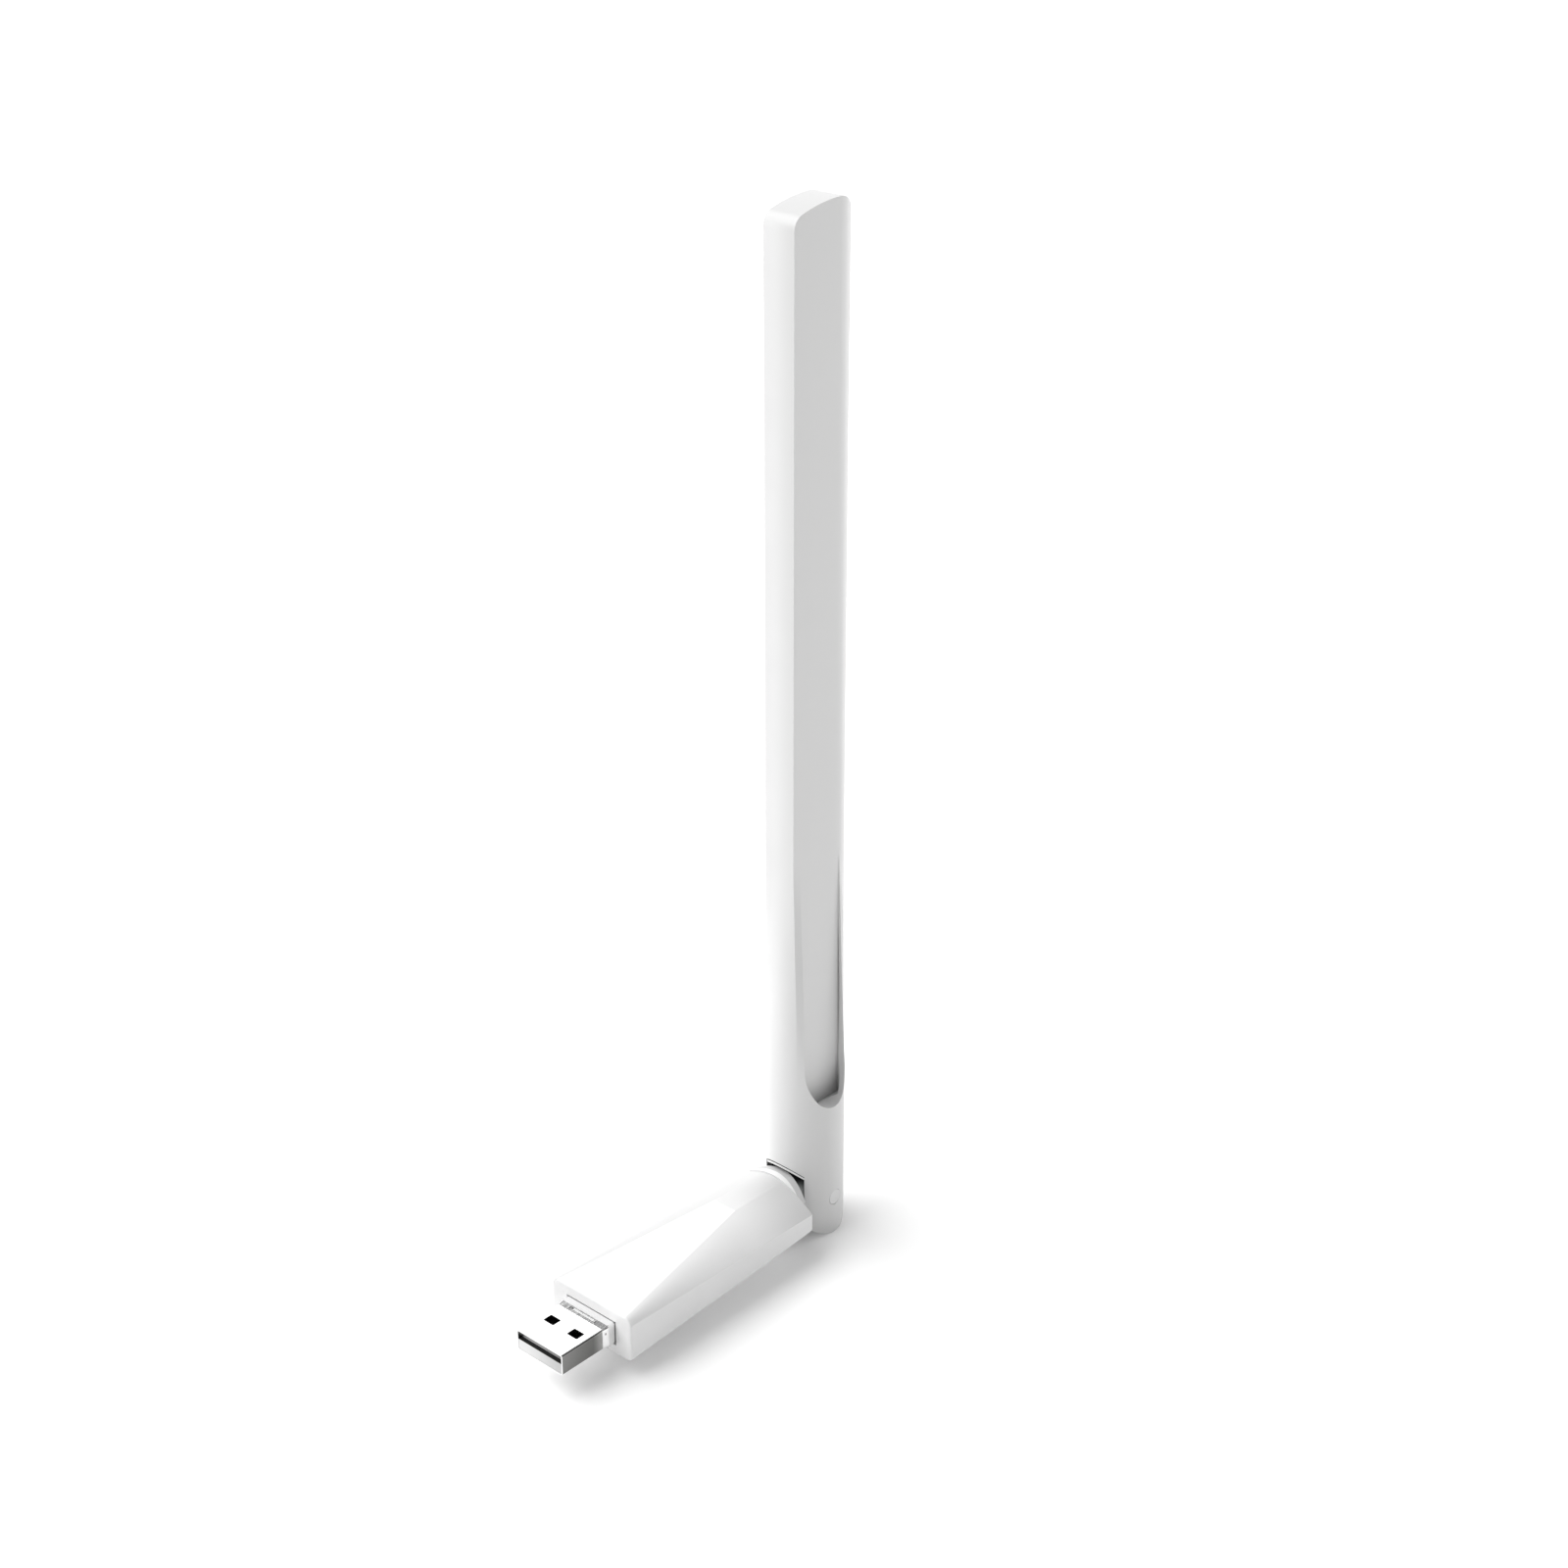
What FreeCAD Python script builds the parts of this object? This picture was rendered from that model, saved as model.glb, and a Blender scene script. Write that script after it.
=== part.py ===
import FreeCAD, Part
import Sketcher
import math
import os

from FreeCAD import Placement, Rotation, Vector

# USB Wi-Fi adapter with a folding blade antenna, in millimetres.
# X runs from the plug towards the antenna, Y across the body, Z up.
# The origin is the centre of the plug where it leaves the body's front face.

os.makedirs("parts", exist_ok=True)
doc = FreeCAD.newDocument("usb_wifi_adapter")
sheet = doc.addObject("Spreadsheet::Sheet", "Dims")

DRIVING = {
    # USB plug
    "plug_length": 13.1,
    "plug_width": 12.0,
    "plug_height": 4.5,
    "shell_wall": 0.3,
    # body
    "body_length": 49.8,
    "face_half": 10.34,
    "end_half": 10.5,
    "face_flat_half": 8.83,
    "face_top": 4.85,
    "face_crease": 3.47,
    "face_bottom": -4.6,
    "ridge_start": 36.2,
    "ridge_half": 2.75,
    "ridge_top": 6.93,
    "end_crease": 2.6,
    "end_bottom": -2.25,
    "wall": 1.3,
    "cover_thick": 1.1,
    # hinge
    "pivot_x": 59.9,
    "pivot_z": 0.4,
    "slot_half": 5.0,
    "tongue_half": 4.72,
    "tongue_round": 6.3,
    "foot_round": 8.1,
    "pin_radius": 1.7,
    "pin_gap": 0.05,
    # antenna
    "mast_x": 59.5,
    "mast_radius": 7.7,
    "yoke_radius": 6.6,
    "fairing_top": 74.0,
    "yoke_top": 16.3,
    "blade_front": 51.95,
    "blade_back": 67.6,
    "blade_front_half": 3.48,
    "blade_side_half": 3.42,
    "antenna_top": 198.0,
    "lip_top": 8.75,
    "lip_round": 7.5,
    # electronics
    "board_top": 0.05,
    "board_thick": 1.0,
    "coax_radius": 0.565,
}

for line_number, (alias, number) in enumerate(DRIVING.items(), start=1):
    sheet.set(f"A{line_number}", alias)
    sheet.set(f"B{line_number}", str(number))
    sheet.setAlias(f"B{line_number}", alias)
doc.recompute()


class Size:
    """A number that keeps its spreadsheet formula, so an object can be bound to it."""

    def __init__(self, value, formula):
        self.value = value
        self.formula = formula

    def __add__(self, other):
        other = sized(other)
        return Size(self.value + other.value, f"({self.formula} + {other.formula})")

    def __sub__(self, other):
        other = sized(other)
        return Size(self.value - other.value, f"({self.formula} - {other.formula})")

    def __mul__(self, factor):
        return Size(self.value * factor, f"({self.formula} * {factor})")

    def __neg__(self):
        return self * -1

    __radd__ = __add__

    def __rsub__(self, other):
        return sized(other) - self


def sized(number):
    """A plain number or a Size, as a Size."""
    if isinstance(number, Size):
        return number
    return Size(float(number), f"({float(number)})")


def dim(alias):
    """The driving dimension of that name."""
    return Size(DRIVING[alias], f"Dims.{alias}")


def bind(thing, prop, number):
    """Sets a property through an expression."""
    thing.setExpression(prop, sized(number).formula)


def place(thing, x=0, y=0, z=0, turn=None):
    """Puts an object at a bound position, turned by a fixed rotation."""
    thing.Placement = Placement(Vector(0, 0, 0), turn or Rotation())
    for axis_name, number in zip("xyz", (x, y, z)):
        bind(thing, f"Placement.Base.{axis_name}", number)
    return thing


UPRIGHT = Rotation()
ALONG_X = Rotation(Vector(0, 1, 0), 90)
ALONG_Y = Rotation(Vector(1, 0, 0), -90)
SIDE_VIEW = Rotation(Vector(1, 0, 0), 90)
END_VIEW = Rotation(Vector(1, 1, 1), 120)


# ---------------------------------------------------------------- building blocks


def box(label, x, y, z):
    """A block given by its low and high limits along each axis."""
    thing = doc.addObject("Part::Box", label)
    for prop, limits in (("Length", x), ("Width", y), ("Height", z)):
        bind(thing, prop, sized(limits[1]) - sized(limits[0]))
    return place(thing, x[0], y[0], z[0])


def soft_box(label, x, y, z, corner):
    """A block with its four upright edges rounded."""
    face = outline(
        label + "_face",
        [
            (x[1] - corner, y[0]),
            (x[1], y[0] + corner, corner),
            (x[1], y[1] - corner),
            (x[1] - corner, y[1], corner),
            (x[0] + corner, y[1]),
            (x[0], y[1] - corner, corner),
            (x[0], y[0] + corner),
            (x[0] + corner, y[0], corner),
        ],
        z=z[0],
    )
    return extrude(label, face, z[1] - z[0])


def rod(label, radius, length, x, y, z, turn=UPRIGHT):
    """A cylinder that starts at a point and runs along the turned Z axis."""
    thing = doc.addObject("Part::Cylinder", label)
    bind(thing, "Radius", radius)
    bind(thing, "Height", length)
    return place(thing, x, y, z, turn)


def cut(label, base, *tools):
    """The base without the tools."""
    thing = doc.addObject("Part::Cut", label)
    thing.Base = base
    thing.Tool = tools[0] if len(tools) == 1 else join(label + "_tools", *tools)
    return thing


def join(label, *pieces):
    """The pieces as one solid."""
    thing = doc.addObject("Part::MultiFuse", label)
    thing.Shapes = list(pieces)
    thing.Refine = True
    return thing


def overlap(label, *pieces):
    """What the pieces share."""
    thing = doc.addObject("Part::MultiCommon", label)
    thing.Shapes = list(pieces)
    return thing


def group(label, *pieces):
    """Separate solids that share one node."""
    thing = doc.addObject("Part::Compound", label)
    thing.Links = list(pieces)
    return thing


def arc_middle(start, end, radius):
    """The middle of the short arc from start to end; its centre is on the left if radius > 0."""
    chord = end - start
    middle = (start + end) * 0.5
    left = Vector(-chord.y, chord.x, 0).normalize()
    offset = math.sqrt(max(radius * radius - chord.Length ** 2 / 4.0, 0.0))
    centre = middle + left * math.copysign(offset, radius)
    towards = middle - centre
    if towards.Length < 1e-6:
        towards = left * math.copysign(1.0, -radius)
    return centre + towards.normalize() * abs(radius)


def outline(label, corners, x=0, y=0, z=0, turn=UPRIGHT):
    """A closed sketch: corners are (u, v), or (u, v, radius) where an arc leads to them."""
    sketch = doc.addObject("Sketcher::SketchObject", label)
    place(sketch, x, y, z, turn)
    points = [Vector(sized(c[0]).value, sized(c[1]).value, 0) for c in corners]
    ends = []
    for index, corner in enumerate(corners):
        start = points[index - 1]
        end = points[index]
        if len(corner) == 2:
            number = sketch.addGeometry(Part.LineSegment(start, end))
            ends.append((number, 1, 2))
            continue
        crown = arc_middle(start, end, sized(corner[2]).value)
        number = sketch.addGeometry(Part.Arc(start, crown, end))
        first = sketch.getPoint(number, 1)
        ends.append((number, 1, 2) if (first - start).Length < 1e-6 else (number, 2, 1))
    for index, (number, first, last) in enumerate(ends):
        following = ends[(index + 1) % len(ends)]
        sketch.addConstraint(Sketcher.Constraint("Coincident", number, last, following[0], following[1]))
    for index, corner in enumerate(corners):
        number, first, last = ends[index]
        for kind, value in (("DistanceX", corner[0]), ("DistanceY", corner[1])):
            item = sketch.addConstraint(Sketcher.Constraint(kind, -1, 1, number, last, sized(value).value))
            sketch.setExpression(f"Constraints[{item}]", sized(value).formula)
        if len(corner) == 3:
            radius = Size(abs(sized(corner[2]).value), f"abs({sized(corner[2]).formula})")
            item = sketch.addConstraint(Sketcher.Constraint("Radius", number, radius.value))
            sketch.setExpression(f"Constraints[{item}]", radius.formula)
    return sketch


def extrude(label, sketch, length):
    """The sketch pushed along its own normal; a negative length goes backwards."""
    thing = doc.addObject("Part::Extrusion", label)
    thing.Base = sketch
    thing.DirMode = "Normal"
    thing.Solid = True
    thing.Reversed = sized(length).value < 0
    bind(thing, "LengthFwd", length if sized(length).value > 0 else -sized(length))
    return thing


def loft(label, *sketches):
    """A straight-ruled solid through sketches that have the same number of edges."""
    thing = doc.addObject("Part::Loft", label)
    thing.Sections = list(sketches)
    thing.Solid = True
    thing.Ruled = True
    return thing


def rounded(label, base, radius, wanted):
    """The base with those edges rounded whose shape passes the test."""
    doc.recompute()
    thing = doc.addObject("Part::Fillet", label)
    thing.Base = base
    chosen = [number for number, edge in enumerate(base.Shape.Edges, start=1) if wanted(edge)]
    thing.Edges = [(number, radius, radius) for number in chosen]
    return thing


def tube_along(label, radius, route, arcs):
    """A cable: straight runs through the route's points, joined by arcs of the given radii."""
    points = [Vector(*point) for point in route]
    edges = []
    here = points[0]
    for corner, onward, arc_radius in zip(points[1:], points[2:], arcs):
        back = (here - corner).normalize()
        ahead = (onward - corner).normalize()
        half_turn = (math.pi - back.getAngle(ahead)) / 2.0
        setback = arc_radius * math.tan(half_turn)
        enter = corner + back * setback
        leave = corner + ahead * setback
        inward = (back + ahead).normalize()
        crown = corner + inward * (arc_radius / math.cos(half_turn) - arc_radius)
        edges.append(Part.LineSegment(here, enter).toShape())
        edges.append(Part.Arc(enter, crown, leave).toShape())
        here = leave
    edges.append(Part.LineSegment(here, points[-1]).toShape())
    path = Part.Wire(edges)
    heading = (points[1] - points[0]).normalize()
    profile = Part.Wire([Part.Circle(points[0], heading, radius).toShape()])
    thing = doc.addObject("Part::Feature", label)
    thing.Shape = path.makePipeShell([profile], True, True)
    print(label, "length", round(path.Length, 2), "arcs", arcs)
    return thing


# ---------------------------------------------------------------- shared sizes

plug_half = dim("plug_width") * 0.5
plug_rise = dim("plug_height") * 0.5
pivot_x = dim("pivot_x")
pivot_z = dim("pivot_z")
mast_x = dim("mast_x")
slot_half = dim("slot_half")
tongue_half = dim("tongue_half")
board_top = dim("board_top")
board_bottom = board_top - dim("board_thick")
length = dim("body_length")
bottom_slope = (DRIVING["end_bottom"] - DRIVING["face_bottom"]) / DRIVING["body_length"]
nodes = {}


def bottom_at(x):
    """Height of the body's underside, which climbs towards the hinge."""
    return dim("face_bottom") + sized(x) * bottom_slope


# ---------------------------------------------------------------- body casing


def body_section(label, x, flat, top, side, crease, floor, corner, crown=0.0, inset=0.0):
    """Cross-section of the body: flat or crowned top, bulging bevels, upright sides."""
    flat = flat - inset * 0.55
    side = side - inset
    top = top - inset
    crease = crease - inset
    bevel = 22.0 if sized(x).value > 2.0 else 1.75
    roof = (flat, top, -crown) if crown else (flat, top)
    return outline(
        label,
        [
            roof,
            (side, crease, -bevel),
            (side, floor + corner),
            (side - corner, floor, -corner),
            (-(side - corner), floor),
            (-side, floor + corner, -corner),
            (-side, crease),
            (-flat, top, -bevel),
        ],
        x=x,
        turn=END_VIEW,
    )


def casing_blank(label, start, end, inset, floor_drop):
    """The body's outer or inner form, in two stretches that meet at the ridge's start."""
    middle = dim("ridge_start")
    share = middle * (1.0 / DRIVING["body_length"])
    side = dim("face_half") + share * (DRIVING["end_half"] - DRIVING["face_half"])
    crease = dim("face_crease") + share * (DRIVING["end_crease"] - DRIVING["face_crease"])
    front = body_section(
        label + "_front", start, dim("face_flat_half"), dim("face_top"), dim("face_half"),
        dim("face_crease"), dim("face_bottom") - floor_drop, 1.2, 0.0, inset,
    )
    ridge = body_section(
        label + "_ridge", middle, dim("ridge_half"), dim("ridge_top"), side,
        crease, bottom_at(middle) - floor_drop, 1.4, 0.0, inset,
    )
    ridge_again = body_section(
        label + "_ridge_crowned", middle, dim("ridge_half"), dim("ridge_top"), side,
        crease, bottom_at(middle) - floor_drop, 1.4, 60.0, inset,
    )
    back = body_section(
        label + "_back", end, dim("ridge_half") - 0.15, dim("ridge_top") - 0.33, dim("end_half"),
        dim("end_crease"), dim("end_bottom") - floor_drop, 1.85, 10.0, inset,
    )
    return join(
        label,
        loft(label + "_long_stretch", front, ridge),
        loft(label + "_hinge_stretch", ridge_again, back),
    )


def make_casing():
    """Main casing: top, sides, front and end wall in one moulding, open underneath."""
    blank = casing_blank("casing_outer", 0.0, length, 0.0, 0.0)
    outer = rounded("casing_soft_front", blank, 0.45, lambda edge: edge.BoundBox.XMax < 0.01)
    inner = casing_blank("casing_inner", dim("wall"), length - dim("wall"), DRIVING["wall"], 3.0)
    plug_way = box("casing_plug_way", (-1.0, 3.0), (-6.44, 6.44), (-2.6, 2.64))
    neck_way = box(
        "casing_neck_way", (length - 3.0, length + 1.0), (-5.1, 5.1), (bottom_at(length) - 2.0, 3.1)
    )
    neck_arch = rod("casing_neck_arch", 5.1, 4.0, length - 3.0, 0.0, 0.4, ALONG_X)
    nodes["casing"] = cut("casing_moulding", outer, inner, plug_way, neck_way, neck_arch)


def make_cover():
    """Underside cover: a sloping plate with board posts and a tab below the neck."""
    front_x = dim("wall") + 0.1
    back_x = length - dim("wall") - 0.1
    half = dim("face_half") - dim("wall") - 0.12
    thick = dim("cover_thick")
    side = outline(
        "cover_side",
        [
            (front_x, bottom_at(front_x)),
            (back_x, bottom_at(back_x)),
            (back_x, bottom_at(back_x) + thick),
            (front_x, bottom_at(front_x) + thick),
        ],
        y=half,
        turn=SIDE_VIEW,
    )
    plate = extrude("cover_plate", side, half * 2.0)
    tab = box(
        "cover_tab", (back_x - 0.5, length - 0.05), (-4.95, 4.95),
        (bottom_at(length) + 0.02, bottom_at(length) + 1.1),
    )
    pieces = [plate, tab]
    for number, (x, y) in enumerate(((11.5, -7.0), (11.5, 7.0), (41.0, -7.0), (41.0, 7.0))):
        foot = bottom_at(x) + 0.4
        pieces.append(rod(f"cover_post_{number}", 1.1, board_bottom - foot - 0.02, x, y, foot))
        pieces.append(rod(f"cover_peg_{number}", 0.55, board_top - foot + 0.3, x, y, foot))
    nodes["bottom_cover"] = join("bottom_cover_moulding", *pieces)


# ---------------------------------------------------------------- USB plug


def plug_section(label, x, inset, corner, low_corner):
    """A rounded rectangle across the plug, inset all round."""
    half = plug_half - inset
    rise = plug_rise - inset
    return outline(
        label,
        [
            (half - corner, rise),
            (half, rise - corner, -corner),
            (half, low_corner - rise),
            (half - low_corner, -rise, -low_corner),
            (low_corner - half, -rise),
            (-half, low_corner - rise, -low_corner),
            (-half, rise - corner),
            (corner - half, rise, -corner),
        ],
        x=x,
        turn=END_VIEW,
    )


def plug_block(label, x, inset, corner, low_corner):
    """A rounded rectangular block along the plug, from one position to another."""
    face = plug_section(label + "_face", x[0], inset, corner, low_corner)
    return extrude(label, face, sized(x[1]) - x[0])


def make_plug_shell():
    """Folded metal shell with four latch windows, a base collar and two solder wings."""
    tip = -dim("plug_length")
    shell = plug_block("shell_outer", (tip, 4.5), 0.0, 0.35, 0.7)
    collar = plug_block("shell_collar", (-1.6, 0.9), -0.24, 0.5, 0.85)
    flare = loft(
        "shell_flare",
        plug_section("shell_flare_start", -2.9, -0.02, 0.36, 0.71),
        plug_section("shell_flare_end", -1.6, -0.24, 0.5, 0.85),
    )
    bore = plug_block("shell_bore", (tip - 1.0, 5.0), DRIVING["shell_wall"], 0.15, 0.4)
    tools = [bore]
    for number, (across, up) in enumerate(((1, 1), (-1, 1), (1, -1), (-1, -1))):
        near = 1.8 if across > 0 else -4.4
        low = 1.0 if up > 0 else -3.0
        across_span = (near, near + 2.6)
        tools.append(soft_box(f"shell_window_{number}", (-7.95, -5.9), across_span, (low, low + 2.0), 0.25))
    tools.append(box("shell_collar_groove", (-2.25, -1.9), (-2.9, 2.9), (plug_rise - 0.05, 3.2)))
    for number, side in enumerate((-1, 1)):
        y = 3.3 * side
        mark = (y - 0.15, y + 0.15)
        tools.append(box(f"shell_collar_mark_{number}", (-2.95, -1.9), mark, (plug_rise - 0.05, 3.2)))
        y = 6.45 * side
        tools.append(box(f"shell_side_dimple_{number}", (-2.45, -2.1), (y - 0.6, y + 0.6), (0.9, 1.35)))
    body = cut("shell_pierced", join("shell_solid", shell, collar, flare), *tools)
    wings = []
    for number, y in enumerate((-6.0, 5.7)):
        wings.append(box(f"shell_wing_{number}", (4.3, 8.0), (y, y + 0.3), (board_bottom - 0.2, 0.9)))
    nodes["usb_shell"] = join("usb_shell_folded", body, *wings)


def make_plug_insides():
    """Insulator with its tongue, and the four contacts that run back to the board."""
    tip = -dim("plug_length")
    fitted = DRIVING["shell_wall"] + 0.03
    block = plug_block("insulator_block", (-2.2, 4.4), fitted, 0.2, 0.4)
    full_front = plug_block("insulator_front", (tip + 0.03, -2.0), fitted, 0.2, 0.4)
    tongue_limit = box("insulator_tongue_limit", (tip - 1.0, 0.0), (-7.0, 7.0), (-3.0, 0.2))
    tongue = overlap("insulator_tongue", full_front, tongue_limit)
    hold_down = box("insulator_lip", (tip + 1.0, tip + 1.4), (-5.6, 5.6), (0.1, 0.36))
    slots = []
    contacts = []
    for number, y in enumerate((-3.5, -1.0, 1.0, 3.5)):
        reach = 1.5 if abs(y) > 2 else 2.5
        strip = ((tip + reach, 7.6), (y - 0.5, y + 0.5), (board_top, board_top + 0.26))
        slots.append(box(f"insulator_slot_{number}", *strip))
        contacts.append(box(f"usb_contact_{number}", *strip))
    moulding = join("insulator_solid", block, tongue, hold_down)
    nodes["usb_insulator"] = cut("usb_insulator_moulding", moulding, *slots)
    nodes["usb_contacts"] = group("usb_contact_strips", *contacts)


# ---------------------------------------------------------------- electronics


def make_board():
    """Main circuit board, narrowed between the shell's wings and drilled for the pegs."""
    plan = outline(
        "board_plan",
        [
            (4.7, -5.5),
            (8.3, -5.5),
            (8.3, -8.5),
            (44.0, -8.5),
            (44.0, 8.5),
            (8.3, 8.5),
            (8.3, 5.5),
            (4.7, 5.5),
        ],
        z=board_bottom,
    )
    board = extrude("board_blank", plan, dim("board_thick"))
    holes = []
    for number, (x, y) in enumerate(((11.5, -7.0), (11.5, 7.0), (41.0, -7.0), (41.0, 7.0))):
        holes.append(rod(f"board_hole_{number}", 0.65, 3.0, x, y, board_bottom - 1.0))
    nodes["main_board"] = cut("main_board_panel", board, *holes)


def make_shield():
    """Radio shield: a soldered frame and the lid that clips over it."""
    floor = board_top
    frame = cut(
        "shield_frame_wall",
        box("shield_frame_block", (14.0, 30.0), (-6.6, 6.6), (floor, floor + 1.6)),
        box("shield_frame_space", (14.25, 29.75), (-6.35, 6.35), (floor - 1.0, floor + 3.0)),
    )
    lid = cut(
        "shield_lid_can",
        box("shield_lid_block", (13.78, 30.22), (-6.82, 6.82), (floor + 0.6, floor + 1.82)),
        box("shield_lid_space", (13.98, 30.02), (-6.62, 6.62), (floor, floor + 1.62)),
    )
    nodes["shield_frame"] = frame
    nodes["shield_lid"] = lid


def make_chips():
    """Components on the board's upper side."""
    floor = board_top
    nodes["wifi_chip"] = box("wifi_chip_package", (18.0, 25.0), (-3.5, 3.5), (floor, floor + 0.9))
    nodes["crystal"] = box("crystal_can", (26.6, 29.1), (2.2, 4.2), (floor, floor + 0.7))
    flash_body = box("flash_body", (32.0, 36.0), (-5.4, -0.6), (floor + 0.1, floor + 1.6))
    legs = []
    for number in range(8):
        x = 32.6 + 0.93 * (number % 4)
        y = (-6.3, -5.3) if number < 4 else (-0.7, 0.3)
        legs.append(box(f"flash_leg_{number}", (x - 0.2, x + 0.2), y, (floor, floor + 0.3)))
    nodes["flash_chip"] = join("flash_chip_package", flash_body, *legs)
    nodes["regulator"] = box("regulator_package", (9.4, 12.3), (-1.0, 0.6), (floor, floor + 1.1))
    nodes["inductor"] = box("inductor_block", (9.4, 12.2), (2.2, 5.0), (floor, floor + 1.3))
    capacitors = []
    spots = ((9.4, -4.9), (31.9, 3.4), (34.2, 3.4), (36.5, 3.4), (31.9, 5.6), (34.2, 5.6))
    for number, (x, y) in enumerate(spots):
        capacitors.append(box(f"capacitor_{number}", (x, x + 1.6), (y, y + 0.8), (floor, floor + 0.8)))
    nodes["capacitors"] = group("capacitor_set", *capacitors)
    resistors = []
    for number in range(5):
        x = 32.0 + 1.7 * number
        resistors.append(box(f"resistor_{number}", (x, x + 1.0), (1.7, 2.2), (floor, floor + 0.35)))
    nodes["resistors"] = group("resistor_set", *resistors)
    nodes["status_led"] = box("status_led_package", (38.6, 40.2), (-4.4, -3.6), (floor, floor + 0.6))


def make_coax_connector():
    """Board receptacle and the crimped plug that snaps on it."""
    floor = board_top
    base = box("coax_socket_base", (38.0, 40.6), (-1.3, 1.3), (floor, floor + 0.35))
    ring = cut(
        "coax_socket_ring",
        rod("coax_socket_wall", 1.0, 1.0, 39.3, 0.0, floor + 0.2),
        rod("coax_socket_space", 0.8, 1.2, 39.3, 0.0, floor + 0.35),
    )
    stem = rod("coax_socket_pin", 0.25, 0.7, 39.3, 0.0, floor + 0.2)
    nodes["coax_socket"] = join("coax_socket_metal", base, ring, stem)
    cap = cut(
        "coax_plug_cap",
        rod("coax_plug_can", 1.35, 1.3, 39.3, 0.0, floor + 0.45),
        rod("coax_plug_space", 1.05, 1.0, 39.3, 0.0, floor + 0.2),
    )
    sleeve = box("coax_plug_crimp", (40.2, 42.0), (-0.85, 0.85), (floor + 0.6, floor + 1.75))
    inside = rod("coax_plug_inside", 1.05, 1.0, 39.3, 0.0, floor + 0.2)
    nodes["coax_plug"] = join("coax_plug_metal", cap, cut("coax_plug_crimp_end", sleeve, inside))


# ---------------------------------------------------------------- hinge


def arch_section(label, x, half, floor, apex, round_radius):
    """A section of the neck: upright sides under a round arch."""
    spring = apex - round_radius + math.sqrt(round_radius ** 2 - sized(half).value ** 2)
    return outline(
        label,
        [(half, floor), (half, spring), (-sized(half), spring, round_radius), (-sized(half), floor)],
        x=x,
        turn=END_VIEW,
    )


def make_knuckle():
    """Hinge knuckle: flange inside the casing, stepped shoulder, arched neck, barrel around the pivot."""
    neck = loft(
        "knuckle_neck",
        arch_section("neck_root", length + 0.05, tongue_half, -2.1, 6.85, 5.4),
        arch_section("neck_tip", pivot_x, tongue_half, -2.1, 6.6, 5.4),
    )
    shoulders = []
    for name, half, apex, round_radius, swept_radius in (
        ("shoulder_collar", 8.0, 7.2, 11.4, 11.1),
        ("shoulder_band", 7.85, 7.06, 11.3, 9.75),
    ):
        face = arch_section(name + "_face", length + 0.05, half, -1.3, apex, round_radius)
        swept = rod(name + "_swept", swept_radius, 30.0, pivot_x, -15.0, pivot_z, ALONG_Y)
        shoulders.append(cut(name, extrude(name + "_blank", face, 4.0), swept))
    barrel_edge = DRIVING["tongue_round"] - 5.4 + math.sqrt(5.4 ** 2 - DRIVING["tongue_half"] ** 2)
    barrel_half = outline(
        "barrel_half",
        [
            (0.0, -tongue_half),
            (barrel_edge, -tongue_half),
            (barrel_edge, tongue_half, 5.4),
            (0.0, tongue_half),
        ],
        x=pivot_x,
        z=pivot_z,
    )
    barrel = doc.addObject("Part::Revolution", "knuckle_barrel")
    barrel.Source = barrel_half
    barrel.Axis = Vector(0, 1, 0)
    bind(barrel, "Base.x", pivot_x)
    bind(barrel, "Base.z", pivot_z)
    barrel.Angle = 360.0
    barrel.Solid = True
    stem = box("knuckle_stem", (46.0, length + 1.0), (-4.6, 4.6), (-1.0, 2.6))
    stem_arch = rod("knuckle_stem_arch", 4.6, length + 1.0 - 46.0, 46.0, 0.0, 0.6, ALONG_X)
    stem_floor = box("knuckle_stem_floor", (45.0, length + 2.0), (-6.0, 6.0), (-8.0, -1.0))
    round_stem = cut("knuckle_round_stem", join("knuckle_stem_solid", stem, stem_arch), stem_floor)
    flange = box("knuckle_flange", (46.0, 48.2), (-6.6, 6.6), (-1.0, 2.5))
    solid = join("knuckle_solid", neck, *shoulders, barrel, round_stem, flange)
    bore = rod("knuckle_bore", dim("pin_radius") + dim("pin_gap"), 12.0, pivot_x, -6.0, pivot_z, ALONG_Y)
    chamber = rod("knuckle_chamber", 3.9, 7.0, pivot_x, -3.2, pivot_z, ALONG_Y)
    cable_way = rod("knuckle_cable_way", 1.0, 14.0, 45.0, 0.0, pivot_z, ALONG_X)
    nodes["hinge_knuckle"] = cut("hinge_knuckle_moulding", solid, bore, chamber, cable_way)


def foot_cutter(label, foot_radius):
    """What is cut away below the pivot so that the foot is round about the pivot."""
    return cut(
        label,
        box(label + "_block", (40.0, 80.0), (-12.0, 12.0), (-20.0, pivot_z)),
        rod(label + "_round", foot_radius, 30.0, pivot_x, -15.0, pivot_z, ALONG_Y),
    )


def slot_cutter(label, apex):
    """The through slot between the ears, under an arched ceiling."""
    spring = apex - dim("lip_round") + math.sqrt(DRIVING["lip_round"] ** 2 - DRIVING["slot_half"] ** 2)
    face = outline(
        label + "_face",
        [
            (slot_half, -20.0),
            (slot_half, spring),
            (-slot_half, spring, dim("lip_round")),
            (-slot_half, -20.0),
        ],
        x=45.0,
        turn=END_VIEW,
    )
    return extrude(label, face, 30.0)


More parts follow.
